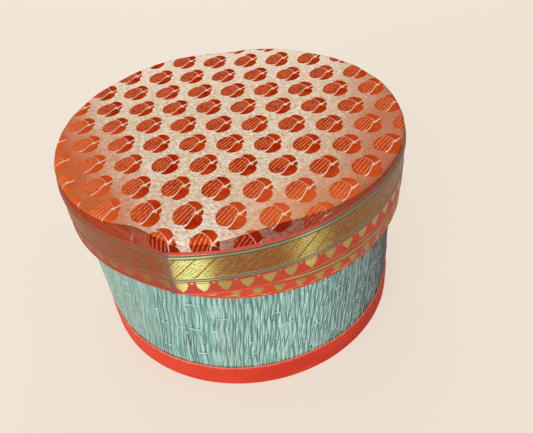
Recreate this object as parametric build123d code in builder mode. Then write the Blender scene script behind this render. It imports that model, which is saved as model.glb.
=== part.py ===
from build123d import *
from math import pi
import os

# Round sweet box: a board drum wrapped in a grass mat, under a telescoping lid
# covered in brocade and edged with a woven border. Sizes are millimetres, the
# origin is the middle of the underside, +Z is up, and -Y faces the viewer.
os.makedirs("parts", exist_ok=True)

# Overall sizes of the closed box
lid_radius = 82.5
box_height = 99.0
skirt_depth = 34.0

# Greyboard
floor_board = 2.0
wall_board = 2.0
lid_board = 2.0
skirt_board = 1.5
strip_joint = 0.4

# Pasted paper
wall_paper = 0.3
floor_paper = 0.3
lid_paper = 0.3
paper_clearance = 0.3

# Cloth of the lid
brocade_cloth = 0.4
brocade_bend = 0.5
brocade_shown = 6.0
border_cloth = 0.5
hem_return = 9.0

# Red tape round the rim and the foot
rim_tape = 0.4
rim_tape_outer_leg = 9.0
rim_tape_inner_leg = 7.0
foot_tape = 0.5
foot_tape_height = 13.5
foot_tape_return = 9.0

# Grass mat: flattened culms stood side by side and bound by thread
culm_width = 2.15
culm_depth = 1.4
culm_crown = 0.55
thread_rise = 0.35
thread_width = 0.7
culms_per_span = 6
first_thread = 23.2
thread_spacing = 8.65

# Glue between pasted layers, and the lid's running fit over the rim tape
glue_line = 0.05
skirt_clearance = 0.5

# Seams, as angles round from +X
border_seam = 247
foot_seam = 68
rim_seam = 108
paper_seam = 52
lap_sweep = 20

# Radii, from the outside of the lid inwards
border_inside = lid_radius - border_cloth
cover_outside = border_inside - glue_line
skirt_outside = cover_outside - brocade_cloth - glue_line
skirt_inside = skirt_outside - skirt_board
hem_outside = skirt_inside - glue_line
hem_inside = hem_outside - border_cloth
rim_outside = hem_inside - skirt_clearance
tape_bore = rim_outside - rim_tape
foot_outside = tape_bore + foot_tape
foot_return_inside = foot_outside - foot_tape_return
mat_crest = tape_bore - glue_line
mat_valley = mat_crest - culm_crown
mat_inside = mat_crest - culm_depth
wall_outside = mat_inside - glue_line
wall_inside = wall_outside - wall_board
floor_radius = wall_inside - glue_line
well_radius = floor_radius - wall_paper
rim_leg_outside = well_radius - glue_line
rim_inside = rim_leg_outside - rim_tape

# Heights, from the table up and from the lid's top down
floor_low = foot_tape
floor_top = floor_low + floor_board
lid_board_top = box_height - brocade_cloth
lid_board_low = lid_board_top - lid_board
rim_top = lid_board_low - lid_paper
wall_top = rim_top - rim_tape
skirt_edge = box_height - skirt_depth
skirt_low = skirt_edge + border_cloth
hem_top = skirt_edge + hem_return
border_top = box_height - brocade_shown

# Culms and threads, as many as the wall takes
culm_count = round(2 * pi * mat_crest / culm_width)
culm_angle = 360 / culm_count
span_count = round(culm_count / culms_per_span)
mat_height = wall_top - floor_low
last_thread = rim_top - rim_tape_outer_leg - thread_width
thread_count = int((last_thread - first_thread) / thread_spacing) + 1


def at(radius, angle):
    """Point in plan, at an angle round from +X."""
    return Vector(radius, 0).rotate(Axis.Z, angle)


def hoop_plan(inside, outside, seam):
    """Plan of a strip bent to a hoop, with its ends a little apart at the seam."""
    with BuildSketch(mode=Mode.PRIVATE) as plan:
        Circle(outside)
        Circle(inside, mode=Mode.SUBTRACT)
        with PolarLocations((inside + outside) / 2, 1, start_angle=seam):
            Rectangle(2 * (outside - inside), strip_joint, mode=Mode.SUBTRACT)
    return plan.sketch


def lapped_plan(inside, outside, cloth, seam):
    """Plan of a tape wound once round, with its cut end laid over its beginning."""
    end = seam + lap_sweep
    with BuildSketch(mode=Mode.PRIVATE) as plan:
        with BuildLine():
            Line(at(outside, seam), at(outside + cloth, seam))
            TangentArc(
                at(outside, end),
                at(outside + cloth, seam),
                tangent=at(outside, end - 90),
            )
            ThreePointArc(at(outside, end), at(outside, end + 180 - lap_sweep / 2), at(outside, seam))
        make_face()
        Circle(inside, mode=Mode.SUBTRACT)
    return plan.sketch


def mat_plan():
    """Plan of the mat: two flats to each culm, from valley to crest and down."""
    with BuildSketch(mode=Mode.PRIVATE) as plan:
        with BuildLine():
            for number in range(culm_count):
                left = border_seam + number * culm_angle
                Polyline(
                    at(mat_valley, left),
                    at(mat_crest, left + culm_angle / 2),
                    at(mat_valley, left + culm_angle),
                )
        make_face()
        Circle(mat_inside, mode=Mode.SUBTRACT)
        with PolarLocations(mat_valley, 1, start_angle=border_seam):
            Rectangle(2 * culm_depth, strip_joint, mode=Mode.SUBTRACT)
    return plan.sketch


def save(piece, name):
    """Label a finished piece and write it to its own file."""
    piece.part.label = name
    export_step(piece.part, f"parts/{name}.step")


# Base: floor disc inside the wall hoop, flush with it underneath
with BuildPart() as base_floor_board:
    with BuildSketch(Plane.XY.offset(floor_low)):
        Circle(floor_radius)
    extrude(amount=floor_board)
save(base_floor_board, "base_floor_board")

with BuildPart() as base_wall_hoop:
    with BuildSketch(Plane.XY.offset(floor_low)):
        add(hoop_plan(wall_inside, wall_outside, paper_seam + 180))
    extrude(amount=wall_top - floor_low)
save(base_wall_hoop, "base_wall_hoop")

# Paper linings of the well, the floor's disc last
with BuildPart() as base_wall_lining:
    with BuildSketch(Plane.XY.offset(floor_top)):
        add(hoop_plan(well_radius, floor_radius, paper_seam))
    extrude(amount=wall_top - floor_top)
save(base_wall_lining, "base_wall_lining")

with BuildPart() as base_floor_lining:
    with BuildSketch(Plane.XY.offset(floor_top)):
        Circle(well_radius - paper_clearance)
    extrude(amount=floor_paper)
save(base_floor_lining, "base_floor_lining")

# Paper on the underside, level with the foot tape's turned-in edge
with BuildPart() as base_underside_paper:
    with BuildSketch():
        Circle(foot_return_inside - paper_clearance)
    extrude(amount=foot_tape)
save(base_underside_paper, "base_underside_paper")

# Grass mat round the wall, its ends meeting under the border's seam
with BuildPart() as grass_mat:
    with BuildSketch(Plane.XY.offset(floor_low)):
        add(mat_plan())
    extrude(amount=mat_height)
save(grass_mat, "grass_mat")

# Binding threads of the mat, one for each row of stitches, drawn straight over
# a few culms at a time
for row in range(thread_count):
    with BuildPart() as mat_thread:
        with BuildSketch(Plane.XY.offset(first_thread + row * thread_spacing - thread_width / 2)):
            RegularPolygon(mat_crest + thread_rise, span_count, major_radius=False)
            RegularPolygon(mat_crest, span_count, major_radius=False, mode=Mode.SUBTRACT)
        extrude(amount=thread_width)
    save(mat_thread, f"mat_thread_{row + 1}")

# Tape folded over the rim, down both faces of the wall
with BuildPart() as rim_binding:
    with BuildSketch(Plane.XZ):
        with BuildLine():
            Polyline(
                (rim_inside, rim_top - rim_tape_inner_leg),
                (rim_inside, rim_top),
                (rim_outside, rim_top),
                (rim_outside, rim_top - rim_tape_outer_leg),
                (tape_bore, rim_top - rim_tape_outer_leg),
                (tape_bore, wall_top),
                (rim_leg_outside, wall_top),
                (rim_leg_outside, rim_top - rim_tape_inner_leg),
                close=True,
            )
        make_face()
    revolve(axis=Axis.Z)
    with BuildSketch(Plane.XY.offset(rim_top - rim_tape_outer_leg)):
        with PolarLocations((rim_inside + rim_outside) / 2, 1, start_angle=rim_seam):
            Rectangle(2 * (rim_outside - rim_inside), strip_joint)
    extrude(amount=rim_tape_outer_leg, mode=Mode.SUBTRACT)
save(rim_binding, "rim_binding")

# Tape round the foot, turned in under the floor
with BuildPart() as foot_binding:
    with BuildSketch(Plane.XZ):
        with BuildLine():
            Polyline(
                (foot_return_inside, 0),
                (foot_outside, 0),
                (foot_outside, foot_tape_height),
                (tape_bore, foot_tape_height),
                (tape_bore, foot_tape),
                (foot_return_inside, foot_tape),
                close=True,
            )
        make_face()
    revolve(axis=Axis.Z)
    with BuildSketch():
        add(lapped_plan(tape_bore, foot_outside, foot_tape, foot_seam))
    extrude(amount=foot_tape_height)
save(foot_binding, "foot_binding")

# Lid: a disc seated on the skirt hoop
with BuildPart() as lid_top_board:
    with BuildSketch(Plane.XY.offset(lid_board_low)):
        Circle(skirt_outside)
    extrude(amount=lid_board)
save(lid_top_board, "lid_top_board")

with BuildPart() as lid_skirt_hoop:
    with BuildSketch(Plane.XY.offset(skirt_low)):
        add(hoop_plan(skirt_inside, skirt_outside, border_seam + 180))
    extrude(amount=lid_board_low - skirt_low)
save(lid_skirt_hoop, "lid_skirt_hoop")

# Paper inside the lid, resting on the rim
with BuildPart() as lid_top_lining:
    with BuildSketch(Plane.XY.offset(rim_top)):
        Circle(skirt_inside - paper_clearance)
    extrude(amount=lid_paper)
save(lid_top_lining, "lid_top_lining")

# Brocade drawn over the top and down the skirt
with BuildPart() as brocade_cover:
    with BuildSketch(Plane.XY.offset(skirt_low)):
        Circle(cover_outside)
    extrude(amount=box_height - skirt_low)
    offset(amount=-brocade_cloth, openings=brocade_cover.faces().sort_by(Axis.Z)[0])
    chamfer(brocade_cover.edges().group_by(Axis.Z)[-1], brocade_bend)
save(brocade_cover, "brocade_cover")

# Woven border round the skirt, turned in under its lower edge and lapped at
# the seam
with BuildPart() as border_ribbon:
    with BuildSketch(Plane.XZ):
        with BuildLine():
            Polyline(
                (border_inside, border_top),
                (lid_radius, border_top),
                (lid_radius, skirt_edge),
                (hem_inside, skirt_edge),
                (hem_inside, hem_top),
                (hem_outside, hem_top),
                (hem_outside, skirt_low),
                (border_inside, skirt_low),
                close=True,
            )
        make_face()
    revolve(axis=Axis.Z)
    with BuildSketch(Plane.XY.offset(skirt_edge)):
        add(lapped_plan(border_inside, lid_radius, border_cloth, border_seam))
    extrude(amount=border_top - skirt_edge)
save(border_ribbon, "border_ribbon")
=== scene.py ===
# %% [markdown]
# # A round sweet box, dressed
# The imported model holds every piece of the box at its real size: a board drum, a lid that slides
# down over it, and plain solids where the real box has grass, thread and cloth. This lesson keeps
# that model as a fixed frame and gives it its looks. The frame comes first, because every new
# piece takes its size and place from it.

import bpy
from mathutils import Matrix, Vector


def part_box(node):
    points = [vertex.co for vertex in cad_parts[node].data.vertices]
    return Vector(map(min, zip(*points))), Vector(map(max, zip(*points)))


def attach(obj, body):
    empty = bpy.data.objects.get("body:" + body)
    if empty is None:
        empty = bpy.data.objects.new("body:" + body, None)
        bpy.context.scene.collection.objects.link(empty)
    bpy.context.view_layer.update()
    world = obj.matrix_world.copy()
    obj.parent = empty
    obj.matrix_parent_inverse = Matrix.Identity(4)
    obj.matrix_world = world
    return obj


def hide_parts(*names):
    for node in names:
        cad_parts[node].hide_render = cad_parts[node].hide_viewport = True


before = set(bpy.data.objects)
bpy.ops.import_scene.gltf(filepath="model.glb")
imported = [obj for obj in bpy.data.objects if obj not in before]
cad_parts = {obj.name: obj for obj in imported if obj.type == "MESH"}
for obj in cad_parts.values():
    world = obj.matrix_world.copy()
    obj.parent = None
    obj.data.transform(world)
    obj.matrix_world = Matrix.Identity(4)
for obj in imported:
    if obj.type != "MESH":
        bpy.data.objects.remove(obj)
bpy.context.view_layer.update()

# %% Libraries and the unit
from functools import reduce
from math import cos, degrees, exp, pi, radians, sin, sqrt

import bpy
from mathutils import Matrix, Vector, noise

MM = 0.001

# %% [markdown]
# ## Camera
# The box is seen from close by and well above, with the camera held a little askew. A short
# distance makes the drum narrow strongly towards the table, so the eye's place matters more than
# the lens. Three turns set the view: left or right, down, and the tilt of the horizon.

# %% Camera
eye = Vector((0, -227.85, 233.09)) * MM
look_right = radians(3.33)
look_down = radians(40.63)
horizon_tilt = radians(-6.12)
focal_length = 36.66

bpy.ops.object.camera_add()
camera = bpy.context.object
camera.data.lens = focal_length
camera.matrix_world = (
    Matrix.Translation(eye)
    @ Matrix.Rotation(-look_right, 4, "Z")
    @ Matrix.Rotation(pi / 2 - look_down, 4, "X")
    @ Matrix.Rotation(horizon_tilt, 4, "Z")
)
bpy.context.scene.camera = camera
print("eye", [round(length, 3) for length in eye])

# %% [markdown]
# ## Colours and shader sums
# A dye is written as it looks on a screen, from 0 to 255, and turned into the light values that
# Blender mixes. A pattern such as a woven motif is a sum over positions. Written with nodes alone
# it would be hard to read, so a small class lets Python's own signs add the Math nodes. It also
# knows a few shapes of number, such as a rise, a line and a bell. They decide how much of each dye
# shows, and the dyes are laid on each other as coats.

# %% Dyes
def dye(red, green, blue):
    """A screen colour as light values."""

    def light(level):
        share = level / 255
        return share / 12.92 if share <= 0.04045 else ((share + 0.055) / 1.055) ** 2.4

    return (light(red), light(green), light(blue), 1)


print("vermilion", [round(part, 3) for part in dye(231, 75, 50)])


# %% A number that changes over a surface
class Value:
    """A socket that takes part in Python sums."""

    def __init__(self, finish, socket):
        self.finish = finish
        self.socket = socket

    def __add__(self, other):
        return self.finish.math("ADD", self, other)

    __radd__ = __add__

    def __sub__(self, other):
        return self.finish.math("SUBTRACT", self, other)

    def __rsub__(self, other):
        return self.finish.math("SUBTRACT", other, self)

    def __mul__(self, other):
        return self.finish.math("MULTIPLY", self, other)

    __rmul__ = __mul__

    def __truediv__(self, other):
        return self.finish.math("DIVIDE", self, other)

    def __neg__(self):
        return 0 - self

    def __abs__(self):
        return self.finish.math("ABSOLUTE", self)

    def floor(self):
        return self.finish.math("FLOOR", self)

    def wave(self, pitch):
        """From -1 to 1 and back, once in each pitch."""
        return self.finish.math("SINE", self * (2 * pi / pitch))

    def repeat_every(self, pitch):
        """How far past the nearest of the points that lie one pitch apart."""
        return self - (self / pitch + 0.5).floor() * pitch

    def rise(self, start, end):
        """0 up to start, 1 from end on, and a smooth step between."""
        inputs = {"Value": self, "From Min": start, "From Max": end}
        return self.finish.node("ShaderNodeMapRange", {"interpolation_type": "SMOOTHSTEP"}, inputs)

    def fall(self, start, end):
        """1 up to start, 0 from end on."""
        return 1 - self.rise(start, end)

    def inside(self, start, end, soft=0.15):
        """1 between two limits, with soft edges."""
        return self.rise(start - soft, start + soft) * self.fall(end - soft, end + soft)

    def line(self, start, end):
        """1 where the value is near 0, and 0 away from there on both sides."""
        return abs(self).fall(start, end)

    def bell(self, middle, width):
        """1 at the middle, and a soft fall to 0 on both sides."""
        off = (self - middle) / width
        return self.finish.math("EXPONENT", -(off * off))

    def axes(self, count=2):
        """The first axes of a place as numbers."""
        kind = "ShaderNodeSeparateXYZ"
        return [self.finish.node(kind, {}, {0: self}, output=axis) for axis in range(count)]

    def grain(self, cell, detail=2.0, roughness=0.5):
        """Soft random variation over a place, with cells of about the given sizes along x, y and z."""
        inputs = {0: self, 1: [1 / size for size in cell]}
        stretched = self.finish.node("ShaderNodeVectorMath", {"operation": "MULTIPLY"}, inputs)
        inputs = {"Vector": stretched, "Scale": 1.0, "Detail": detail, "Roughness": roughness}
        return self.finish.node("ShaderNodeTexNoise", {}, inputs)


# %% Sums of several values
slant_share = 0.707


def hypot(x, y):
    return x.finish.math("SQRT", x * x + y * y)


def least(*values):
    return reduce(lambda first, second: first.finish.math("MINIMUM", first, second), values)


def most(*values):
    return reduce(lambda first, second: first.finish.math("MAXIMUM", first, second), values)


def on_slant(x, y):
    """The same place on the cloth, on axes that run along its two slants."""
    inputs = {0: (x + y) * slant_share, 1: (x - y) * slant_share}
    return x.finish.node("ShaderNodeCombineXYZ", {}, inputs)


def blend(share, first, second):
    """The first tone where share is 0, and the second where it is 1."""
    settings = {"data_type": "RGBA"}
    return share.finish.node("ShaderNodeMix", settings, {0: share, 6: first, 7: second}, output=2)


def layers(colour, *coats):
    """Lay coats on a colour, each given as its share and its tone."""
    for share, tone in coats:
        colour = blend(share, colour, tone)
    return colour


# %% A material and the one method that adds its nodes
class Finish:
    """A material under construction, or the sky, which has nodes too."""

    def __init__(self, name, owner=None):
        self.material = owner or bpy.data.materials.new(name)
        self.material.use_nodes = True
        self.material.node_tree.nodes.clear()

    def node(self, kind, settings, inputs, output=0):
        """Add a node, set it up, feed its sockets, and hand back one of its outputs."""
        tree = self.material.node_tree
        made = tree.nodes.new(kind)
        for name, setting in settings.items():
            setattr(made, name, setting)
        for name, value in inputs.items():
            if isinstance(value, Value):
                tree.links.new(value.socket, made.inputs[name])
            else:
                made.inputs[name].default_value = value
        return None if output is None else Value(self, made.outputs[output])

    def math(self, operation, first, second=0.0):
        return self.node("ShaderNodeMath", {"operation": operation}, {0: first, 1: second})

    def place(self):
        """Where the surface is, in the box's own frame, in millimetres."""
        metres = self.node("ShaderNodeTexCoord", {}, {}, output=3)
        settings = {"operation": "SCALE"}
        return self.node("ShaderNodeVectorMath", settings, {0: metres, "Scale": 1 / MM})

    def azimuth(self):
        """Degrees round from the front of the box."""
        x, y = self.place().axes()
        return self.math("ARCTAN2", x, -y) * (180 / pi)

    def cloth(self):
        """Where the surface lies on the flat cloth, in millimetres."""
        return self.node("ShaderNodeUVMap", {"uv_map": "cloth"}, {})

    def marked(self, name):
        """A number that was kept for each vertex of the piece."""
        return self.node("ShaderNodeAttribute", {"attribute_name": name}, {}, output=2)

    def looked_at(self):
        """1 where the camera or a mirror looks straight at the surface."""
        rays = ("Is Camera Ray", "Is Glossy Ray", "Is Transmission Ray")
        return most(*[self.node("ShaderNodeLightPath", {}, {}, output=ray) for ray in rays])

    def surface(self, colour, roughness, height=None, depth=0.1, **constants):
        """Finish with a principled surface. Height is relief from 0 to 1, depth its size in mm."""
        inputs = {"Base Color": colour, "Roughness": roughness}
        if height is not None:
            bump = {"Height": height, "Distance": depth * MM, "Strength": 1.0}
            inputs["Normal"] = self.node("ShaderNodeBump", {}, bump)
        for name, value in constants.items():
            inputs[name.replace("_", " ")] = value
        shader = self.node("ShaderNodeBsdfPrincipled", {}, inputs)
        self.node("ShaderNodeOutputMaterial", {}, {"Surface": shader}, output=None)


print("shader tools ready")

# %% [markdown]
# ## Floor, sky and lamps
# A plain pale floor, a sky of the same tone and two wide lamps show the cloth without hard
# shadows. The wide lamp behind the box is what the metal threads of the lid mirror. Where the
# camera or a mirror looks straight at the floor or the sky, they show their own colour, so the
# ground stays even, but the floor keeps part of the box's shadow.

# %% Floor
paper_tone = dye(243, 231, 215)
floor_size = 8.0
shadow_share = 0.3
floor_glow = 1.04

bpy.ops.mesh.primitive_plane_add(size=floor_size)
floor = bpy.context.object
floor.name = "studio_floor"

ground = Finish("studio_ground")
lit = ground.node("ShaderNodeBsdfDiffuse", {}, {"Color": paper_tone})
even = ground.node("ShaderNodeEmission", {}, {"Color": paper_tone, "Strength": floor_glow})
even_share = ground.looked_at() * (1 - shadow_share)
mixed = ground.node("ShaderNodeMixShader", {}, {0: even_share, 1: lit, 2: even})
ground.node("ShaderNodeOutputMaterial", {}, {"Surface": mixed}, output=None)
floor.data.materials.append(ground.material)
print("floor", floor.dimensions.x, "m across")

# %% Sky
sky_level = 0.6

world = bpy.data.worlds.new("studio_sky")
bpy.context.scene.world = world
sky = Finish("studio_sky", world)
light = sky.node("ShaderNodeBackground", {}, {"Color": dye(250, 249, 255), "Strength": sky_level})
shown = sky.node("ShaderNodeBackground", {}, {"Color": paper_tone, "Strength": 1.0})
mixed = sky.node("ShaderNodeMixShader", {}, {0: sky.looked_at(), 1: light, 2: shown})
sky.node("ShaderNodeOutputWorld", {}, {"Surface": mixed}, output=None)
bpy.context.scene.view_settings.view_transform = "Standard"
print("sky", sky_level)

# %% Lamps
lamp_aim = Vector((0, 0, 0.06))


def wide_lamp(name, place, size, power):
    """A square soft lamp that looks at the box."""
    bpy.ops.object.light_add(type="AREA", location=place)
    lamp = bpy.context.object
    lamp.name = name
    lamp.data.size = size
    lamp.data.energy = power
    lamp.rotation_euler = (lamp_aim - lamp.location).to_track_quat("-Z", "Y").to_euler()
    return lamp


back_window = wide_lamp("back_window", (0.05, 0.95, 0.8), 0.9, 3.2)
front_lamp = wide_lamp("front_lamp", (-0.7, -0.95, 0.45), 0.7, 7.0)
print("lamps", back_window.data.energy, front_lamp.data.energy)

# %% [markdown]
# ## Working by hand
# Cloth, tape and paper are cut flat and then rolled round the board. The same is done here: a
# strip starts as a grid of its real cut size, every point is carried to its place round the box,
# and the flat position stays behind as a UV map in millimetres, so that a woven pattern follows
# the cloth round every bend.
#
# Angles are measured round from the front of the box, to the right as seen from above. What varies
# by hand, such as an edge or the lean of the grass, is a sum of soft humps at a few of them.

# %% Operator helpers
def only(piece):
    """Select one piece alone."""
    bpy.ops.object.select_all(action="DESELECT")
    piece.select_set(True)
    bpy.context.view_layer.objects.active = piece


def edit_all(piece, step, **settings):
    """Run one edit-mode step on all of a piece."""
    only(piece)
    bpy.ops.object.mode_set(mode="EDIT")
    bpy.ops.mesh.select_all(action="SELECT")
    step(**settings)
    bpy.ops.object.mode_set(mode="OBJECT")


def apply(piece, kind, **settings):
    """Add a modifier and apply it."""
    only(piece)
    modifier = piece.modifiers.new(kind.lower(), kind)
    for name, value in settings.items():
        setattr(modifier, name, value)
    bpy.ops.object.modifier_apply(modifier=modifier.name)


def thicken(strip, thickness, smooth_degrees, **settings):
    """Give a strip its thickness, inwards, and shade it smooth up to an angle."""
    apply(strip, "SOLIDIFY", thickness=thickness, offset=-1, **settings)
    only(strip)
    bpy.ops.object.shade_smooth_by_angle(angle=radians(smooth_degrees))


def finish_piece(piece, material, body, slot, *nodes):
    """Give a piece its material, its body and the nodes that it stands for."""
    piece.data.materials.clear()
    piece.data.materials.append(material)
    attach(piece, body)
    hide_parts(*nodes)
    print(piece.name, len(piece.data.polygons), "faces")


# %% Places round the box
def round_at(radius, angle, height):
    """A point at an angle round from the front."""
    return Vector((radius * sin(angle), -radius * cos(angle), height))


def wobble(point, size):
    """Soft variation from -1 to 1, with swells of about the given size in metres."""
    return noise.noise(point / size)


def hump(angle, middle, width):
    """1 at one place round the box, and a smooth fall to 0 on both sides; places in degrees."""
    return exp((cos(angle - radians(middle)) - 1) / radians(width) ** 2)


def humps(angle, places):
    """A sum of humps, each given by its middle, its width and its size."""
    return sum(size * hump(angle, middle, width) for middle, width, size in places)


print("a quarter turn to the right:", [round(part, 3) for part in round_at(1, radians(90), 0)])


# %% Cutting and rolling a strip
def cut_strip(name, length, width, columns, rows):
    """A flat strip of cloth, its length along x from 0 and its width along y from 0."""
    bpy.ops.object.select_all(action="DESELECT")
    bpy.ops.mesh.primitive_grid_add(x_subdivisions=columns, y_subdivisions=rows, size=1)
    strip = bpy.context.object
    strip.name = name
    strip.data.name = name
    strip.data.transform(Matrix.Diagonal((length, width, 1, 1)) @ Matrix.Translation((0.5, 0.5, 0)))
    return strip


def roll(strip, carry, flat=None):
    """Carry each flat point to its place, and keep the flat one, in millimetres, as a UV map."""
    strip.data.uv_layers.remove(strip.data.uv_layers[0])
    cloth = strip.data.uv_layers.new(name="cloth")
    kept = [vertex.co.xy / MM if flat is None else flat(*vertex.co.xy) for vertex in strip.data.vertices]
    for corner in strip.data.loops:
        cloth.data[corner.index].uv = kept[corner.vertex_index]
    for vertex in strip.data.vertices:
        vertex.co = carry(*vertex.co.xy)
    face_outwards(strip)


def face_outwards(strip):
    """Turn a strip's faces over if its outermost one looks at the middle of the box."""
    outermost = max(strip.data.polygons, key=lambda face: face.center.xy.length)
    if outermost.normal.xy.dot(outermost.center.xy) < 0:
        edit_all(strip, bpy.ops.mesh.flip_normals)


def bore(node):
    """The smallest radius of a hoop-shaped node."""
    return min(vertex.co.xy.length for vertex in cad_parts[node].data.vertices)


print("the wall's board begins", round(bore("base_wall_hoop") / MM, 2), "mm from the middle")

# %% [markdown]
# ## Grass mat
# The wall is wrapped in a mat of grass culms, dyed a pale blue-green. Threads run round it, and
# each one passes over every other culm, so that a culm is pinched by one thread and swells at the
# next, where it closes over its neighbours. That makes the lens shapes of the weave. They show
# best where the threads are tight. Where they are loose, every other culm simply lies on top. One
# culm is modelled as a narrow ridged strip, and each copy has its own width, phase and tone. A
# plain drum behind them stands for the grass deeper in the mat. The mat was pasted a little askew,
# so the culms lean to the right on the front.

# %% Mat sizes
mat_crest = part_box("grass_mat")[1].x
foot_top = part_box("foot_binding")[1].z
rim_tape_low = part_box("rim_binding")[0].z
wall_middle = 45 * MM
thread_nodes = [f"mat_thread_{row}" for row in range(1, 9)]
thread_heights = [sum(corner.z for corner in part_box(node)) / 2 for node in thread_nodes]
row_pitch = thread_heights[1] - thread_heights[0]
mat_seam = radians(-24)
culm_count = 420
culm_width = 2 * pi * mat_crest / culm_count
print("crest", round(mat_crest / MM, 2), "culm", round(culm_width / MM, 2), "rows", len(thread_heights))

# %% One culm
culm_hidden = 3 * MM
culm_low = foot_top - culm_hidden
culm_high = rim_tape_low + culm_hidden
culm_length = culm_high - culm_low
steps_per_row = 3
culm_rise = 0.95 * MM
culm_base = mat_crest - culm_rise

culm = cut_strip("culm", 1, culm_length, 2, round(culm_length / (row_pitch / steps_per_row)))
print("one culm has", len(culm.data.polygons), "faces")

# %% How a culm lies
level_half, swell_half = 0.54, 0.44
level_rise, swell_rise = 0.75, 0.25
least_plump, plump_range = 0.88, 0.24
steady_half, steady_rise = 0.06, 0.1 * MM
squeeze, squeeze_height = 0.45 * MM, 2.5 * MM
loose_braid = 0.35
tight_places = [(30, 30, 0.7), (-150, 50, 0.5)]
lean_places = [(44, 30, 16), (-26, 16, 5), (-54, 17, 17)]
sways = [(0.07, 7, 15, 0.9), (2.9, 3, 8, 0.25)]
place_jitter, beat_jitter = 0.24, 0.7


def chance(number, kind):
    """A fixed number from 0 to 1 for each culm and each kind of difference between culms."""
    return noise.cell(Vector((number + 0.5, kind + 0.5, 0.5)))


def drift(number, kind, height, swell):
    """Soft variation up the mat, with swells of the given size in mm; near numbers drift alike."""
    return noise.noise(Vector((number, kind, height / (swell * MM))))


def culm_place(number, share, height):
    """A point of one culm: share runs from -1 to 1 across it."""
    step = number + 0.5 + place_jitter * (chance(number, 1) - 0.5)
    middle = mat_seam + step * culm_width / mat_crest
    braided = min(1, loose_braid + humps(middle, tight_places))
    beat = cos(pi * (height - thread_heights[0]) / row_pitch + beat_jitter * (chance(number, 2) - 0.5))
    swell = (1 - 2 * (number % 2)) * (braided * beat + 1 - braided)
    plump = least_plump + plump_range * chance(number, 3)
    steady = drift(number * 3.7, 0, height, 24)
    half = culm_width * ((level_half + swell_half * swell) * plump + steady_half * steady)
    rise = culm_rise * (level_rise + swell_rise * swell) * plump + steady_rise * steady
    rise = rise - squeeze * exp(-(max(0, height - foot_top) / squeeze_height) ** 2)
    sway = sum(size * drift(number * pace, kind, height, swell) for pace, kind, swell, size in sways)
    lean = humps(middle, lean_places) * MM * (height - wall_middle) / mat_crest
    across = share * half + sway * MM + lean
    return round_at(culm_base + rise * (1 - abs(share)), middle + across / mat_crest, height)


print("the first culm starts at", [round(part, 4) for part in culm_place(0, 0, culm_low)])


# %% The mat, culm by culm
def mark(piece, name, values):
    """Keep one number for each vertex, for the finish to read."""
    piece.data.attributes.new(name, "FLOAT", "POINT").data.foreach_set("value", values)


tone_level, tone_spread, tone_streaks = 0.35, 0.4, 0.7
parts = []
for number in range(culm_count):
    part = culm.copy()
    part.data = culm.data.copy()
    bpy.context.collection.objects.link(part)
    flat_points = [(2 * vertex.co.x - 1, culm_low + vertex.co.y) for vertex in part.data.vertices]
    level = tone_level + tone_spread * chance(number, 4)
    streaks = [drift(number * 5.1, 11, height, 8) for share, height in flat_points]
    mark(part, "tone", [level + tone_streaks * change for change in streaks])
    mark(part, "across", [share for share, height in flat_points])
    for vertex, (share, height) in zip(part.data.vertices, flat_points):
        vertex.co = culm_place(number, share, height)
    parts.append(part)

bpy.data.objects.remove(culm)
print("culms", len(parts))

# %% Grass deeper in the mat
bpy.ops.object.select_all(action="DESELECT")
bpy.ops.mesh.primitive_cylinder_add(
    vertices=240,
    radius=culm_base - 0.1 * MM,
    depth=culm_length,
    location=(0, 0, culm_low + culm_length / 2),
    end_fill_type="NOTHING",
)
bpy.ops.object.transform_apply(location=True, rotation=False, scale=False)
under_layer = bpy.context.object
under_layer.data.uv_layers.remove(under_layer.data.uv_layers[0])
mark(under_layer, "tone", [0] * len(under_layer.data.vertices))
# Marked as all edge, the drum takes the painted shade of the grooves.
mark(under_layer, "across", [1] * len(under_layer.data.vertices))

only(parts[0])
for part in parts + [under_layer]:
    part.select_set(True)
bpy.ops.object.join()
mat = bpy.context.object
mat.name = "woven_mat"
bpy.ops.object.shade_smooth()
reach = max(vertex.co.xy.length for vertex in mat.data.vertices)
print("mat", len(mat.data.polygons), "faces, out to", round(reach / MM, 2), "mm")

# %% [markdown]
# The finish of the grass reads the tone of each culm and the place across it. Painted shade darkens
# each culm where it turns down to its neighbour, and a painted highlight runs along its crest. Fine
# streaks run along the culm, and soft patches of age lie over them. Painted shade darkens the mat on
# its right, where it turns from the light, and the mat is a little greyer on its left. Last come the
# accidents: a few dark blemishes, the dark line of the seam, and three bleached culms beside it.

# %% Grass finish
blemishes = [
    (17.6, 15.5, 0.8, 2.4), (-2.7, 49.5, 0.7, 2.2), (-43.0, 45.0, 0.6, 2.0), (118.0, 38.0, 0.8, 2.2)]
seam_line = (-24.2, 34, 0.5, 22)
pale_culms = [(-19.6, 47.4, 0.8, 7.5), (-20.1, 29.6, 0.8, 7), (-20.3, 16.6, 0.7, 6)]
crest_mm = mat_crest / MM
mm_per_degree = radians(crest_mm)

grass = Finish("dyed_grass")
tone = grass.marked("tone")
across_culm = grass.marked("across")
azimuth = grass.azimuth()
spot = grass.place()
height = spot.axes(3)[2]
streak = spot.grain((0.5, 0.5, 14), detail=3)
segment = spot.grain((1.8, 1.8, 5))
patch = spot.grain((9, 9, 26))
fleck = spot.grain((1.3, 1.3, 4))
faded = spot.grain((1.5, 1.5, 14))
# Painted shade: the mat darker on its right, deepest further round, where it turns from the light; a
# grey wash on its left.
shaded_right = azimuth.inside(34, 105, 18)
far_right_shade = azimuth.inside(54, 80, 12)
left_wash = azimuth.inside(-100, -40, 14)
# Painted highlight along each culm's crest, a little to one side, and painted shade in the grooves
# between culms, deeper on the shaded right.
crest_highlight = (across_culm + 0.2).line(0.1, 0.5) * segment.rise(0.4, 0.6)
groove_shade = (abs(across_culm) + 0.2 * shaded_right).rise(0.6, 0.95)

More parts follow.
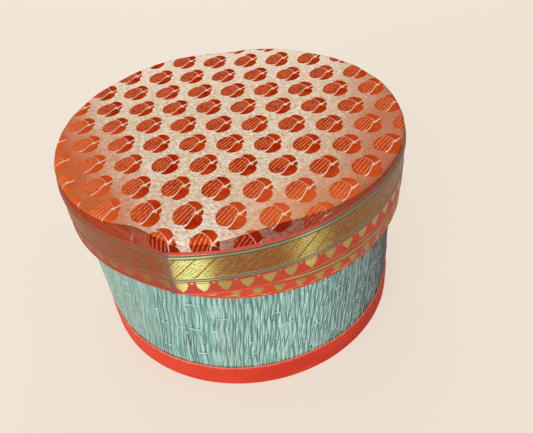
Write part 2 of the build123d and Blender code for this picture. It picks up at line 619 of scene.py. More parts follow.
crest_highlight_tone = blend(shaded_right, dye(208, 250, 240), dye(188, 206, 202))
groove_shade_tone = blend(shaded_right, dye(88, 130, 122), dye(24, 32, 40))
colour = layers(
    blend(tone, dye(130, 179, 167), dye(182, 226, 216)),
    (streak.rise(0.5, 0.7) * 0.6, dye(118, 166, 154)),
    (patch.rise(0.56, 0.8) * 0.3, dye(182, 184, 170)),
    (faded.rise(0.54, 0.62) * 0.45, dye(180, 194, 186)),
    (shaded_right * 0.68, dye(88, 98, 102)),
    (crest_highlight * 0.65, crest_highlight_tone),
    (left_wash * 0.45, dye(152, 164, 146)),
    (far_right_shade * 0.78, dye(84, 60, 68)),
    (groove_shade * (0.7 + 0.2 * shaded_right), groove_shade_tone),
    (fleck.rise(0.68, 0.74) * 0.6, dye(116, 100, 72)),
)


def oval_mark(place, level, half_width, half_height):
    """1 inside an upright oval on the mat, in degrees round it and millimetres up it."""
    up = height - level
    across = (azimuth - place) * mm_per_degree - up * 0.05
    return (across * across / half_width ** 2 + up * up / half_height ** 2).fall(0.2, 1.2)


for oval in blemishes + [seam_line]:
    colour = blend(oval_mark(*oval) * fleck.rise(0.34, 0.5), colour, dye(92, 66, 44))
for oval in pale_culms:
    colour = blend(oval_mark(*oval) * 0.8, colour, dye(188, 232, 242))
grass.surface(colour, 0.42 + 0.2 * streak, height=streak, depth=0.05, Specular_IOR_Level=0.4)
finish_piece(mat, grass.material, "base", "grass", "grass_mat")

# %% [markdown]
# ## Binding threads
# Each thread runs once round the mat. It rises over a pinched culm and dives into the groove
# beside it. The grass closes over most of it, so only a few groups of short stitches show, and
# near the seam every other thread is pulled tight over one culm. A circle with two points to each
# culm is pulled in and out to make that wave, and given its thickness as a bevelled curve.

# %% Thread finish
cotton = Finish("pale_cotton")
# Painted shade: the thread darker and greener where it sinks into the grass, and darker on the box's
# right.
bright = hypot(*cotton.place().axes()).rise(crest_mm - 0.7, crest_mm - 0.2)
colour = layers(
    blend(bright, dye(110, 148, 138), dye(196, 240, 246)),
    (cotton.azimuth().inside(44, 120, 20) * 0.6, dye(104, 116, 116)),
)
cotton.surface(colour, 0.7, Sheen_Weight=0.2)
print("a thread is bright where it is more than", round(crest_mm - 0.2, 2), "mm from the middle")

# %% Threads
thread_thickness = 0.6 * MM
points_per_culm = 2
stitch_dive = 0.9 * MM
thread_sunk = 1.1 * MM
group_size, group_from, group_soft = 6 * MM, 0.2, 0.12
tight_stitch = (-20.9, 1.0)
thread_rise, thread_swell = 0.3 * MM, 12 * MM


def thread_wave(row, angle, height):
    """The thread's place: over every other culm where it shows, and sunk in the grass elsewhere."""
    number = (angle - mat_seam) * mat_crest / culm_width - 0.5
    over = cos(pi * (number + row + 1))
    group = noise.noise(Vector((angle * mat_crest / group_size, row * 4.3, 2)))
    pulled = hump(angle, *tight_stitch) * (1 - row % 2)
    shows = min(1, max(0, (group + pulled - group_from) / group_soft))
    dive = stitch_dive * (1 - pulled)
    out = culm_base + culm_rise - (1 - shows) * thread_sunk + shows * dive * (over - 1) / 2
    rise = thread_rise * wobble(round_at(mat_crest, angle, height), thread_swell)
    return round_at(out, angle, height + rise)


for row, (node, height) in enumerate(zip(thread_nodes, thread_heights)):
    bpy.ops.object.select_all(action="DESELECT")
    bpy.ops.mesh.primitive_circle_add(vertices=points_per_culm * culm_count, radius=1)
    thread = bpy.context.object
    for index, vertex in enumerate(thread.data.vertices):
        angle = mat_seam + 2 * pi * index / (points_per_culm * culm_count)
        vertex.co = thread_wave(row, angle, height)
    bpy.ops.object.convert(target="CURVE")
    thread.data.bevel_depth = thread_thickness / 2
    thread.data.bevel_resolution = 0
    bpy.ops.object.convert(target="MESH")
    bpy.ops.object.shade_smooth()
    thread.name = f"stitch_row_{row + 1}"
    finish_piece(thread, cotton.material, "base", "mat_thread", node)

# %% [markdown]
# ## Red tape
# Cotton tape is pasted over the foot and over the rim. Both tapes are strips rolled round the
# wall, and they differ only in the path that they take over its edge. The path is given by its
# corners, rounded a little, and the strip's width runs along it.

# %% A path round an edge
def rounded_path(corners, bend):
    """Points along a path of straight runs, with each inner corner rounded by a quarter turn."""
    corners = [Vector(corner) for corner in corners]
    points = corners[:1]
    for before, corner, after in zip(corners, corners[1:], corners[2:]):
        into = (corner - before).normalized() * bend
        out = (after - corner).normalized() * bend
        for step in range(5):
            turn = step / 4 * pi / 2
            points.append(corner - into + into * sin(turn) + out * (1 - cos(turn)))
    return points + corners[-1:]


def along(points, distance):
    """The point at a distance along a path."""
    for first, second in zip(points, points[1:]):
        step = (second - first).length
        if distance < step:
            return first + (second - first) * (distance / step)
        distance = distance - step
    return points[-1]


def path_length(points):
    return sum((second - first).length for first, second in zip(points, points[1:]))


print("a path with one corner", round(path_length(rounded_path([(0, 0), (1, 0), (1, 1)], 0.1)), 3))

# %% Winding a tape
tape_columns = 300
tape_lap = 0.1
lap_lift, lap_run_up = 1.1, 0.3 * tape_lap
start_askew = 0.2 * MM
edge_depth, edge_swell = 4 * MM, 30 * MM
ripple_rise, ripple_swell = 0.08 * MM, 9 * MM
press_depth = 1.2 * MM


def roll_tape(name, path, radius, rows, seam, thickness, uneven, pressed):
    """A tape wound once round the wall, its end laid over its beginning."""
    width = path_length(path)
    length = (2 * pi + tape_lap) * radius
    tape = cut_strip(name, length, width, tape_columns, rows)

    def carry(x, y):
        turn = x / radius
        angle = seam + turn
        point = along(path, y)
        over = thickness * lap_lift * max(0, turn - 2 * pi + lap_run_up) / (tape_lap + lap_run_up)
        askew = start_askew * max(0, 1 - turn / tape_lap)
        near_edge = max(0, 1 - y / edge_depth)
        edge = near_edge * uneven * wobble(round_at(radius, angle, 0), edge_swell)
        ripple = ripple_rise * wobble(round_at(radius, angle, point.y), ripple_swell)
        out = point.x + over + ripple - pressed * exp(-(y / press_depth) ** 2)
        return round_at(out, angle, point.y - edge + (askew if point.y < wall_middle else -askew))

    roll(tape, carry)
    thicken(tape, thickness, 40, use_even_offset=True)
    print(name, "cut", round(length / MM), "by", round(width / MM, 1), "mm")
    return tape


# %% Tape at the foot
foot_thickness = 0.5 * MM
foot_radius = mat_crest + foot_thickness + 0.05 * MM
foot_return = 9 * MM
foot_corners = [(foot_radius, foot_top - 0.5 * MM), (foot_radius, 0), (foot_radius - foot_return, 0)]
foot_path = rounded_path(foot_corners, 0.6 * MM)
foot_tape = roll_tape(
    "foot_tape", foot_path, foot_radius, rows=40, seam=radians(158), thickness=foot_thickness,
    uneven=0.7 * MM, pressed=0.7 * MM)

# %% Tape over the rim
rim_low, rim_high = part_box("rim_binding")
rim_radius = rim_high.x
rim_bore = bore("rim_binding")
rim_inner_leg = 7 * MM
rim_corners = [
    (rim_radius, rim_low.z),
    (rim_radius, rim_high.z),
    (rim_bore, rim_high.z),
    (rim_bore, rim_high.z - rim_inner_leg),
]
rim_path = rounded_path(rim_corners, 0.8 * MM)
rim_tape = roll_tape(
    "rim_tape", rim_path, rim_radius, rows=26, seam=radians(18), thickness=0.4 * MM,
    uneven=0.5 * MM, pressed=0.5 * MM)

# %% Tape finish
weft_pitch, warp_pitch = 0.6, 0.5
fray_depth = 2.2

cotton_tape = Finish("vermilion_tape")
spot = cotton_tape.cloth()
x, y = spot.axes()
rib = x.wave(weft_pitch) * y.wave(warp_pitch) * 0.5 + 0.5
fade = cotton_tape.place().grain((26, 26, 12))
# The pale fringe at the tape's edge is frayed fibre with a painted highlight along the edge.
frayed_lit_edge = y + (spot.grain((0.7, 3, 1)) - 0.5) * fray_depth
colour = layers(
    blend(fade.rise(0.3, 0.75), dye(236, 76, 48), dye(218, 60, 40)),
    (rib * 0.2, dye(198, 48, 32)),
    # Painted shade: the tape darker on the box's right.
    (cotton_tape.azimuth().inside(41, 125, 21) * 0.6, dye(190, 48, 36)),
    (frayed_lit_edge.fall(0.3, 0.9) * 0.8, dye(248, 150, 122)),
)
cotton_tape.surface(colour, 0.65, height=rib, depth=0.06, Specular_IOR_Level=0.15)
finish_piece(foot_tape, cotton_tape.material, "base", "red_tape", "foot_binding")
finish_piece(rim_tape, cotton_tape.material, "base", "red_tape", "rim_binding")

# %% [markdown]
# ## Brocade on the lid
# A round of brocade is drawn over the lid's board and pasted down the skirt. Its edge over the
# board is soft and a little uneven, because the cloth and the paste make the corner round. The
# round is cut flat with rings of points, then folded: a point keeps its distance from the middle
# as it goes over the edge, so the woven motifs run down the side as they do on the real box.

# %% Fold of the brocade
cover_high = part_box("brocade_cover")[1]
cover_radius = cover_high.x
lid_height = cover_high.z
cover_drop = 22 * MM
soft_edge = 0.9 * MM
crown = 1.3 * MM
edge_level = 1.6
edge_places = [(-18, 9, -1.6), (178, 10, -1.6), (143, 7, -0.5), (24, 11, 1.1)]


def lid_edge_height(angle):
    """Height of the uneven edge of the lid's top."""
    return lid_height + (edge_level + humps(angle, edge_places)) * MM


def fold(distance, angle):
    """Where a point of the flat round lands: across the top, over the soft edge, down the side."""
    edge = lid_edge_height(angle)
    flat = cover_radius - soft_edge
    if distance < flat:
        share = distance / flat
        height = lid_height + crown * (1 - share ** 2) + (edge - lid_height) * share ** 6
        return round_at(distance, angle, height)
    bend = (distance - flat) / soft_edge
    if bend < pi / 2:
        return round_at(flat + soft_edge * sin(bend), angle, edge - soft_edge * (1 - cos(bend)))
    return round_at(cover_radius, angle, edge - soft_edge - (distance - flat - soft_edge * pi / 2))


print("flat round", round((cover_radius + cover_drop) / MM), "mm in radius")

# %% Cut and fold the round
round_size = cover_radius + cover_drop
round_rings = 64
round_sides = 240
gathers = 46 / 6
gather_depth, gather_reach = 0.3 * MM, 9 * MM
lay_rise, lay_near_edge, lay_swell = 0.2 * MM, 0.25 * MM, 13 * MM

brocade = cut_strip("brocade_round", 2 * pi, round_size, round_sides, round_rings)


def drape(angle, distance):
    """The fold, with small gathers near the edge and the unevenness of the paste."""
    point = fold(distance, angle)
    near_edge = max(0, 1 - abs(distance - cover_radius) / gather_reach)
    gather = noise.noise(Vector((sin(angle) * gathers, cos(angle) * gathers, 1)))
    pucker = gather_depth * near_edge * gather
    lay = (lay_rise + lay_near_edge * near_edge) * wobble(point, lay_swell)
    outward = Vector((point.x, point.y, 0)).normalized()
    if distance < cover_radius:
        return point + Vector((0, 0, lay)) + outward * pucker
    return point + outward * (pucker + lay * 0.5)


def flat_place(angle, distance):
    return round_at(distance, angle, 0).xy / MM


roll(brocade, drape, flat_place)
edit_all(brocade, bpy.ops.mesh.remove_doubles, threshold=1e-6)
bpy.ops.object.shade_smooth()
print("brocade", len(brocade.data.polygons), "faces")

# %% [markdown]
# The brocade is woven with silver thread over a rust ground. Its colour has the reflection of the
# light painted in: silver where the cloth faces the light, and salmon where it turns away. The motif,
# a traditional buti, is drawn from ovals cut by two cream veins: a striped body, two leaves and a
# small tip. Each shape is a distance inside its outline in millimetres, and the smaller of two
# distances is where both shapes overlap. In one motif, h runs across and v up.
#
# The cloth was pulled while it was pasted. Its rows bend a little across the lid, and the motifs
# are drawn longer over the front edge.

# %% Rows of motifs
buti_x, buti_y = 11.6, -4.8
buti_pitch, buti_row, buti_step = 17.33, 16.45, 8.0
buti_slant = radians(-13.6)
buti_low = 1.0
lid_mm = cover_radius / MM

silk = Finish("silver_brocade")
spot = silk.cloth()
cloth_x, cloth_y = spot.axes()
distance = hypot(cloth_x, cloth_y)

side_x, side_y = cloth_x / lid_mm, cloth_y / lid_mm
square_x, square_y, both = side_x * side_x, side_y * side_y, side_x * side_y
pulled_x = cloth_x - square_x * 1.3 - both * 3.6 - square_y * (1.8 - side_y * 0.6) - buti_x
pulled_y = cloth_y - square_x * 0.3 - both * 3.1 - square_y * (2.2 + side_y * 2.9) - buti_y
longer = distance.rise(50, 68) * (-side_y).rise(0.35, 0.7)

along_row = pulled_x * cos(buti_slant) + pulled_y * sin(buti_slant)
up_rows = pulled_y * cos(buti_slant) - pulled_x * sin(buti_slant)
row = ((up_rows + buti_low) / buti_row + 0.5).floor()
up_rows = up_rows - row * buti_row
along_row = (along_row + row * buti_step).repeat_every(buti_pitch)
h = (along_row * cos(buti_slant) - up_rows * sin(buti_slant)) * 1.04
v = (along_row * sin(buti_slant) + up_rows * cos(buti_slant)) * (1.08 - 0.11 * longer)
print("motifs", buti_pitch, "mm apart in rows", buti_row, "mm apart")


# %% One motif
def oval(middle_h, middle_v, half_h, half_v, lean):
    """Distance inside an oval that leans to the right."""
    across = (h - middle_h - (v - middle_v) * lean) / half_h
    return (1 - hypot(across, (v - middle_v) / half_v)) * min(half_h, half_v)


vein_wave = 2 * pi / 0.9
vein = (v - (-5.3 + 1.06 * h + 0.6 * (h - 1.45).wave(vein_wave))) / 1.46
spine = h - (3.8 - 0.1 * v - 0.08 * v * v)

body = least(oval(-1.2, -0.7, 4.8, 5.8, 0.2), vein - 0.2, -0.25 - spine)
upper_leaf = least(oval(3.4, 1.8, 3.8, 5.1, -0.1), vein - 0.25, spine - 0.35)
lower_leaf = least(oval(2.0, -5.5, 4.1, 4.0, 0.3), -0.25 - vein)
tip = least(oval(6.1, -1.0, 1.0, 1.7, 0.25), -0.3 - vein)
ragged = (spot.grain((0.8, 0.8, 1), detail=3) - 0.5) * 0.7
motif = (most(body, upper_leaf, lower_leaf, tip) + ragged).rise(-0.12, 0.12)

stripe_slant, stripe_pitch = radians(47), 1.7
stripe_place = v * cos(stripe_slant) - h * sin(stripe_slant) + 0.55
broken = spot.grain((1.4, 1.4, 1)).rise(0.32, 0.5)
stripe = stripe_place.repeat_every(stripe_pitch).line(0.12, 0.42)
stripe = stripe * body.rise(0.2, 0.6) * broken
vein_line = vein.line(0.16, 0.4) * h.inside(-2.4, 7.0, 0.5)
spine_band = spine.line(0.3, 0.55) * v.inside(-0.6, 5.9, 0.5)
knot = hypot(h - 3.8, v + 0.6).fall(0.3, 0.9)
print("stripes", stripe_pitch, "mm apart")

# %% [markdown]
# Towards the lid's left, near and right edges the painted silver reflection gives way to the rust
# ground. A painted gleam crosses it at the near edge, where the cloth faces the light behind the box.
# Past the edge the cloth hangs down the side in painted shade, and two creases let that shade reach
# in over the top.

# %% Painted reflection: how the ground turns from silver to rust
cloud = (spot.grain((22, 26, 1)) - 0.5) * 0.4


def towards(x_share, y_share, start, end):
    """0 in the middle of the lid and 1 at its edge in one direction."""
    return ((cloth_x * x_share + cloth_y * y_share) / lid_mm + cloud).rise(start, end)


gleam_place, gleam_width = -14.5, 7
twill_pitch = 0.8
azimuth = silk.azimuth()
gleam = azimuth.bell(gleam_place, gleam_width)
wide_gleam = azimuth.bell(gleam_place, gleam_width / sqrt(0.3)) * distance.rise(50, 76)
# Painted reflection: the silver sheen of the middle gives way to salmon and rust towards the left, near
# and right edges, where the cloth turns from the light.
left = towards(-0.93, -0.36, 0.5, 0.92)
near = towards(0.12, -0.99, 0.5, 0.95) * (1 - wide_gleam)
right = towards(0.94, -0.34, 0.4, 0.98)
right_shade = azimuth.inside(20, 145, 12)

crinkle = on_slant(cloth_x, cloth_y).grain((0.8, 2.6, 1), detail=4, roughness=0.65)
folds = spot.grain((4.5, 7.0, 1), detail=3)
ridge = (folds - 0.5).line(0.0, 0.05)
twill = 0.5 + 0.5 * (cloth_x * 0.88 - cloth_y * 0.47).wave(twill_pitch)
crease_in = azimuth.bell(-31, 7) * 3.2 + azimuth.bell(10, 9) * 2.4 - gleam * 1.5
side = (distance + crease_in).rise(lid_mm + 0.2, lid_mm + 0.7)
print("the side begins", round(lid_mm, 1), "mm from the middle of the cloth")

# %% Brocade colours
rest_tone = blend(crinkle.rise(0.33, 0.65), dye(194, 158, 124), dye(247, 236, 208))
gleam_tone = blend(crinkle.rise(0.36, 0.6), dye(204, 176, 140), dye(255, 253, 238))
# Painted shade down the side below the edge: darker rust on the right, salmon on the left.
side_tone = layers(
    blend(crinkle.rise(0.36, 0.64), dye(134, 80, 66), dye(178, 124, 106)),
    (right_shade * 0.8, blend(crinkle, dye(112, 42, 22), dye(184, 96, 64))),
    (left, dye(166, 70, 36)),
)
ground_tone = layers(
    rest_tone,
    # Painted shade and highlight of the soft folds: a darker tone on one side of each fold and a pale
    # line along its ridge.
    (folds.rise(0.5, 0.7) * 0.4, dye(214, 170, 138)),
    (ridge * 0.6, dye(252, 244, 222)),
    # Painted reflection: paler towards the back.
    (side_y.rise(0.2, 0.85) * 0.35, dye(255, 246, 226)),
    (near * 0.75, dye(222, 150, 100)),
    (right * 0.95, dye(196, 116, 78)),
    (left, dye(207, 105, 54)),
    (wide_gleam * 0.85, gleam_tone),
    (twill * 0.15, dye(176, 116, 88)),
    (side * (1 - gleam * 0.85), side_tone),
)
part_tone = spot.grain((6, 6, 1)).rise(0.35, 0.65)
motif_tone = layers(
    blend(part_tone, dye(184, 36, 2), dye(212, 68, 12)),
    # The motifs too are painted more orange where the ground turns from the light.
    (most(left, near, right * 0.5), dye(244, 104, 46)),
    (twill * 0.2, dye(150, 26, 0)),
    # Painted shade darkens the motifs down the side.
    (side, blend(right_shade, dye(146, 32, 14), dye(188, 66, 24))),
    (stripe * (0.8 - 0.4 * side), dye(244, 160, 108)),
)

# Down the side the motifs are painted faint: more on the left, and half as much in the painted shade on
# the right.
round_left = -azimuth
faint_left = round_left.rise(25, 33) * round_left.fall(120, 160)
left_on = 1 - side * most(faint_left * 0.75, right_shade * 0.5)
cream_lines = most(vein_line * 0.8, knot) * (1 - side * 0.4)
colour = layers(
    ground_tone,
    (spine_band * 0.75 * left_on, dye(222, 150, 116)),
    (motif * left_on, motif_tone),
    (cream_lines * left_on, dye(244, 228, 200)),
)
metal = (1 - motif) * 0.3 * (1 - side * 0.6)
relief = crinkle * 0.7 + folds * 0.8 + ridge * 0.5 + motif * 0.2 + twill * 0.15 + vein_line * 0.25
silk.surface(colour, 0.5, height=relief, depth=0.36, Metallic=metal, Specular_IOR_Level=0.0)
finish_piece(brocade, silk.material, "lid", "brocade", "brocade_cover")

# %% [markdown]
# ## Woven border
# A border cut from a sari edge goes once round the skirt. It is pasted by eye: its top edge dips
# at the seam and climbs to the right, and the skirt is deeper on that side. The band is folded
# along a pink line, and below the fold the border's other edge shows, down to the skirt's edge,
# which it wraps. So there are two strips: the band, and the hem under it that turns inside.
#
# The edges are sums of a few cosines, so that they close smoothly all the way round.

# %% Edges of the skirt
ribbon_low, ribbon_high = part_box("border_ribbon")
ribbon_radius = ribbon_high.x
skirt_seam = radians(-23)
band_width = 22.6 * MM
edge_up, edge_waves = 3.0, [(1, -96, 3.0), (2, -66, 2.2)]
top_up, top_waves = 2.6, [(1, 35, 0.9), (2, 59, 1.7)]
dip_depth, dip_after, dip_before = 2.3, radians(14), radians(3)


def waves_round(angle, waves):
    """A sum of cosines, each given by its waves in one round, the place of a crest and its size."""
    return sum(size * cos(count * (angle - radians(crest))) for count, crest, size in waves)


def skirt_edge_height(angle):
    """Height of the skirt's lower edge."""
    return ribbon_low.z + (edge_up + waves_round(angle, edge_waves)) * MM


def band_top_height(angle):
    """Height of the band's top edge, which dips where its cut end was pulled down."""
    turn = (angle - skirt_seam) % (2 * pi)
    dip = dip_depth * (exp(-turn / dip_after) + exp(-(2 * pi - turn) / dip_before))
    return ribbon_high.z + (top_up + waves_round(angle, top_waves) - dip) * MM


for angle in (-40, 0, 35, 120):
    print(angle, "skirt edge", round(skirt_edge_height(radians(angle)) / MM, 1))

# %% Skirt board, cut along the same edge
hoop_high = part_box("lid_skirt_hoop")[1]
hoop_board = hoop_high.x - bore("lid_skirt_hoop")
edge_cloth = 0.5 * MM

bpy.ops.object.select_all(action="DESELECT")
bpy.ops.mesh.primitive_cylinder_add(vertices=240, radius=hoop_high.x, depth=1, end_fill_type="NOTHING")
skirt_board = bpy.context.object
skirt_board.name = "skirt_board"
for vertex in skirt_board.data.vertices:
    angle = -Vector((0, -1)).angle_signed(vertex.co.xy)
    vertex.co.z = hoop_high.z if vertex.co.z > 0 else skirt_edge_height(angle) + edge_cloth
face_outwards(skirt_board)
apply(skirt_board, "SOLIDIFY", thickness=hoop_board, offset=-1)
apply(skirt_board, "BEVEL", width=0.25 * MM, segments=2, limit_method="ANGLE")

board = Finish("greyboard")
spot = board.place()
fibre = spot.grain((0.7, 0.7, 1.6), detail=4, roughness=0.7)
cloudy = spot.grain((14, 14, 14)).rise(0.4, 0.7)
colour = blend(fibre, dye(150, 138, 120), dye(190, 178, 158))
colour = blend(cloudy * 0.5, colour, dye(160, 150, 134))
board.surface(colour, 0.9, height=fibre, depth=0.08)
finish_piece(skirt_board, board.material, "lid", "greyboard", "lid_skirt_hoop")

# %% Relief of the band
cord_places = [1.5, 2.9, 14.0, 15.1]
cord_half, cord_relief = 0.5, 0.3
selvedge_ridge = (0.5, 0.5, 0.18)
fold_ridge = (band_width / MM - 0.5, 0.45, 0.3)


def band_relief(down):
    """How far the band stands out, in millimetres, at a distance below its top edge."""
    offs = [(down - place) / cord_half for place in cord_places]
    cords = [cord_relief * sqrt(max(0, 1 - off * off)) for off in offs]
    for place, half, size in (selvedge_ridge, fold_ridge):
        cords.append(size * exp(-((down - place) / half) ** 2))
    return max(cords)


print("relief at the first cord", band_relief(cord_places[0]), "mm")

# %% Band, wound once round with its cut end on top
band_cloth = 0.3 * MM
band_lap = radians(7)
band_columns, band_rows = 420, 58
band_radius = ribbon_radius + 0.15 * MM
band_length = (2 * pi + band_lap) * band_radius
start_height, start_fall = 0.55 * MM, radians(16)
end_drop = 0.6 * MM
top_pressed, top_depth = 0.75 * MM, 1.3 * MM
band_lay, band_lay_swell = 0.16 * MM, 14 * MM
band_ripple, band_ripple_swell = 0.07 * MM, 3 * MM

band = cut_strip("border_band", band_length, band_width, band_columns, band_rows)


def wind_band(x, y):
    """x runs round the skirt from the seam, and y down from the band's top edge."""
    turn = x / band_radius
    angle = skirt_seam + turn
    start_lift = start_height * max(0, 1 - turn / start_fall)
    height = band_top_height(angle) - y - (end_drop if turn > 2 * pi else 0)
    surface = round_at(band_radius, angle, height)
    lay = band_lay * wobble(surface, band_lay_swell)
    ripple = band_ripple * wobble(surface, band_ripple_swell)
    relief = band_relief(y / MM) * MM
    pressed = (top_pressed + start_lift * 0.6) * exp(-(y / top_depth) ** 2)
    return round_at(band_radius + start_lift + lay + ripple + relief - pressed, angle, height)


roll(band, wind_band)
thicken(band, band_cloth, 50)
print("band", round(band_length / MM), "mm long")

# %% Hem, down over the skirt's edge and up inside
hem_cloth = 0.35 * MM
hem_bore = bore("border_ribbon")
hem_inner, hem_outer = 9 * MM, 16 * MM
hem_bend = 0.5 * MM
hem_radius = ribbon_radius - 0.1 * MM
hem_tucked = ribbon_radius - 0.5 * MM
hem_tuck_run = 0.8 * MM
hem_lay, hem_lay_swell = 0.1 * MM, 11 * MM
hem = cut_strip("border_hem", (2 * pi + band_lap) * hem_radius, hem_inner + hem_outer, 300, 46)


def wind_hem(x, y):
    """y runs from the inner edge, down round the skirt's edge, and up the outside."""
    angle = skirt_seam + x / hem_radius
    edge = skirt_edge_height(angle)
    inner, outer = (hem_bore, edge), (hem_radius, edge)
    corners = [(hem_bore, edge + hem_inner), inner, outer, (hem_radius, edge + hem_outer)]
    path = rounded_path(corners, hem_bend)
    spot = along(path, y * path_length(path) / (hem_inner + hem_outer))
    if spot.x < hem_radius - hem_bend:
        return round_at(spot.x, angle, spot.y)
    fold = band_top_height(angle) - band_width
    tuck = min(1, max(0, (spot.y - fold + hem_tuck_run) / hem_tuck_run))
    lay = hem_lay * wobble(round_at(hem_radius, angle, spot.y), hem_lay_swell) * (1 - tuck)
    return round_at(spot.x + lay - tuck * (hem_radius - hem_tucked), angle, spot.y)


roll(hem, wind_hem)
thicken(hem, hem_cloth, 50)
print("hem", round((hem_inner + hem_outer) / MM), "mm wide")

# %% [markdown]
# The band's finish is laid out in strips down from its top edge: a red selvedge, a double cord, a
# field of gold zari with rust lines, a second double cord, and spades on red above the fold. Zari
# never looks even, because each stretch of it lies at its own angle to the light and has worn in
# its own way. Its tone goes from dull brown to bright yellow round the box: the bright stretches are
# painted highlights, and painted shade makes the dull brown darker on the right.

# %% Painted highlights: how the gold shines round the band
gold_from, gold_to, red_from = 3.4, 13.4, 15.4
highlight_places = [(-15.5, 7.5, 1.0), (17.0, 7.0, 0.62), (78, 12, 0.5), (128, 15, 0.75), (-172, 12, 0.5),
                 (-122, 14, 0.8), (-75, 10, 0.45)]

border = Finish("woven_border")
azimuth = border.azimuth()
spot = border.cloth()
run, down = spot.axes()
weave = spot.grain((0.8, 0.6, 1), detail=3, roughness=0.65)
cloud = spot.grain((16, 8, 1))
patch = on_slant(run, down).grain((1.2, 3.6, 1))
# shine is the painted highlight on the zari; it also brightens the cords and the spades.
bells = [azimuth.bell(place, half_width) * level for place, half_width, level in highlight_places]
shine = most(*bells) + (cloud - 0.5) * 0.3

dull = layers(
    blend(patch.rise(0.42, 0.6), dye(150, 86, 46), dye(150, 124, 66)),
    # Painted shade: the dull gold darker on the box's right.
    (azimuth.inside(62, 125, 13) * 0.85, dye(116, 78, 38)),
)
gold_tone = layers(
    dull,
    (shine.rise(0.05, 0.6), dye(196, 176, 90)),
    (shine.rise(0.45, 0.95), dye(240, 246, 156)),
    (weave.rise(0.52, 0.7) * 0.5, dye(122, 88, 42)),
)
print("gold from", gold_from, "to", gold_to, "mm down, bright at", [place[0] for place in highlight_places])

# %% Lines and dots of the gold field
spade_pitch, spade_first = 8.83, 5.2
slant_pitch, dot_pitch = 8.2, 1.8
ring_pitch, ring_middle, ring_radius = 4.4, 8.5, 1.6

waver = (spot.grain((3, 3, 1)) - 0.5) * 1.2
slant = (run + down + waver).repeat_every(slant_pitch) * slant_share
slant_line = slant.line(0.16, 0.5) * weave.rise(0.3, 0.5)
first, second = [way.repeat_every(dot_pitch) for way in (run + down, run - down)]
lattice = abs(first) + abs(second)
speckle = spot.grain((1.1, 0.9, 1)).rise(0.42, 0.56)
dots = lattice.fall(0.45, 0.95) * speckle
ring_x = (run - spade_first).repeat_every(spade_pitch / 2)
ring_y = (down - ring_middle).repeat_every(ring_pitch)
ring_line = (hypot(ring_x, ring_y) - ring_radius).line(0.1, 0.45)
ring_line = ring_line * shine.fall(0.2, 0.7) * 0.5
gold_field = layers(
    gold_tone,
    (most(slant_line, ring_line), dye(168, 78, 40)),
    (dots, dye(122, 96, 44)),
)
print("slanted lines", slant_pitch, "mm apart, dots", dot_pitch)

# %% Cords beside the gold
twist_pitch = 1.3
twist = (run + down * 1.3).repeat_every(twist_pitch).line(0.1, 0.35)
rope_off = least(*[abs(down - place) for place in cord_places])
cord = layers(
    # Painted highlight on the cords where the gold shines.
    blend(shine.rise(0.2, 0.8), dye(154, 146, 112), dye(210, 208, 148)),
    (rope_off.fall(0.2, 0.42) * 0.9, dye(66, 62, 46)),
    (twist * 0.22, dye(168, 158, 116)),
)
cord_rows = most(down.inside(1.1, gold_from, 0.12), down.inside(gold_to, red_from, 0.12))
print("cords", cord_places, "mm down")

# %% Spades on red
spade_top, spade_height = 16.6, 4.9


def spade_shape(off, share, half_width):
    """1 inside a spade: off is the distance from its middle line, share 0 where it is widest."""
    return (half_width * (1 - share * share) - off).rise(-0.15, 0.25)


side_off = abs((run - spade_first).repeat_every(spade_pitch))
ragged = (weave - 0.5) * 2.6
spade = spade_shape(side_off - ragged, (down - spade_top) / spade_height, half_width=2.8)
spade = spade * down.inside(spade_top, spade_top + spade_height)
# The bar shows only in the painted highlight.
bar = down.inside(15.5, 16.25, 0.12) * side_off.fall(2.5, 2.8) * shine.rise(0.1, 0.5)
between = abs((run - spade_first - spade_pitch / 2).repeat_every(spade_pitch))
point = (between + abs(down - 16.3)).fall(0.5, 0.9)
figures = most(spade, bar, point * 0.8)

red_weave = spot.grain((0.5, 2.5, 1), detail=3)
spade_dull = blend(weave.rise(0.45, 0.6), dye(186, 172, 100), dye(160, 138, 76))
red_field = layers(
    blend(red_weave, dye(182, 54, 38), dye(216, 84, 62)),
    (cloud.rise(0.5, 0.7) * 0.4, dye(176, 62, 44)),
    # Painted highlight: the spades take the gold's bright tone where it shines.
    (figures, blend(shine.rise(0.1, 0.7), spade_dull, gold_tone)),
)
print("spades", spade_pitch, "mm apart")

# %% Border colours put together
# Painted shade: the red selvedge darker on the right, and the band rust-brown left of the seam, where it
# turns from the light.
shaded_right = azimuth.inside(21, 135, 21)
left_of_seam = (azimuth - degrees(skirt_seam)).inside(-70, 0, 2)
frayed = (run + (weave - 0.5) * 4).fall(1.6, 3.4)
beads = lattice.fall(0.2, 0.5) * 0.6
colour = layers(
    blend(shaded_right * 0.8, dye(212, 76, 66), dye(156, 76, 56)),
    (down.rise(0.95, 1.2), gold_field),
    (down.rise(red_from - 0.1, red_from + 0.1), red_field),
    (cord_rows, cord),
    (down.rise(21.7, 22.1) * 0.7, dye(228, 116, 92)),
    (left_of_seam * 0.75, blend(patch.rise(0.4, 0.6), dye(158, 54, 28), dye(128, 80, 44))),
    (frayed * 0.85, blend(beads, dye(120, 80, 76), dye(190, 160, 90))),
)
gold_figures = figures * down.rise(red_from, red_from + 0.2)
gloss = most(down.inside(gold_from, gold_to), gold_figures) * (1 - frayed)
relief = weave * 0.6 + most(dots, slant_line) * 0.4 + figures * 0.3 + twist * cord_rows * 0.15
border.surface(
    colour, 0.5 - 0.1 * gloss, height=relief, depth=0.18, Metallic=gloss * 0.35, Specular_IOR_Level=0.2)
finish_piece(band, border.material, "lid", "woven_border", "border_ribbon")

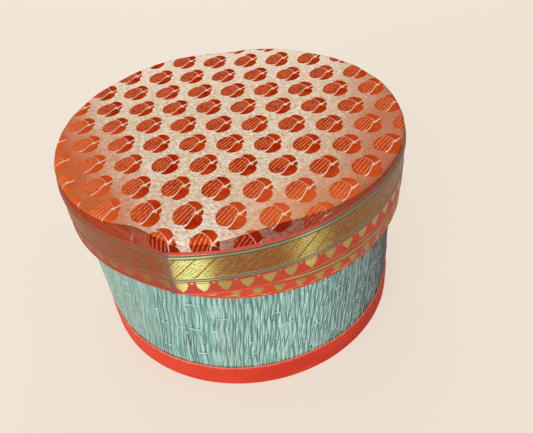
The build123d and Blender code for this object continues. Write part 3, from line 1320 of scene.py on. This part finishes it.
# %% Hem finish
edging = Finish("woven_hem")
spot = edging.cloth()
run, across = spot.axes()
up = across - hem_inner / MM
weave = spot.grain((0.5, 2.2, 1), detail=3)
crinkle = spot.grain((10, 0.6, 1), detail=3)
worn = spot.grain((4, 1, 1), detail=3).rise(0.4, 0.6)
right_in_shade = edging.azimuth().inside(23, 135, 19)

small_first, spade_base, spade_rise = 3.4, 6.4, 3.4
off = abs((run - spade_first - small_first).repeat_every(spade_pitch))
small_spade = spade_shape(off, (spade_base - up) / spade_rise, half_width=2.3)
small_spade = small_spade * up.inside(3.4, spade_base)
cream = up - 3.0 - 0.4 * (run - spade_first).wave(spade_pitch)
colour = layers(
    blend(weave, dye(202, 60, 36), dye(226, 88, 54)),
    # Painted shade: the hem darker on the box's right.
    (right_in_shade * 0.45, dye(148, 62, 40)),
    (crinkle.rise(0.54, 0.6) * right_in_shade * 0.6, dye(196, 158, 104)),
    (small_spade, blend(spot.grain((3, 1, 1)), dye(140, 112, 58), dye(196, 172, 98))),
    (cream.line(0.1, 0.4) * worn * 0.85, dye(238, 186, 142)),
    (most(up.inside(7.3, 8.0), up.inside(8.5, 9.4)), dye(128, 108, 66)),
    (up.inside(8.0, 8.5), dye(206, 178, 110)),
    (up.fall(-0.5, 0.5), dye(196, 74, 46)),
)
edging.surface(colour, 0.55, height=weave, depth=0.1, Specular_IOR_Level=0.2)
finish_piece(hem, edging.material, "lid", "woven_border", "border_ribbon")

# %% [markdown]
# ## Boards and papers
# The drum's boards and linings have the right shape as they are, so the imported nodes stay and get
# their materials here.

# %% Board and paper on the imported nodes
def coat(material, *names):
    """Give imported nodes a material."""
    for name in names:
        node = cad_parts[name]
        node.data.materials.clear()
        node.data.materials.append(material)


paper = Finish("lining_paper")
spot = paper.place()
pulp = spot.grain((0.6, 0.6, 0.9), detail=4, roughness=0.7)
age = spot.grain((30, 30, 24), detail=3).rise(0.5, 0.75)
colour = blend(pulp * 0.4, dye(232, 224, 204), dye(214, 202, 178))
colour = blend(age * 0.5, colour, dye(216, 196, 164))
paper.surface(colour, 0.85, height=pulp, depth=0.04)
coat(paper.material, "base_wall_lining", "base_floor_lining", "base_underside_paper", "lid_top_lining")
coat(board.material, "base_floor_board", "base_wall_hoop", "lid_top_board")
print("coated", [name for name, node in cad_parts.items() if not node.hide_render])
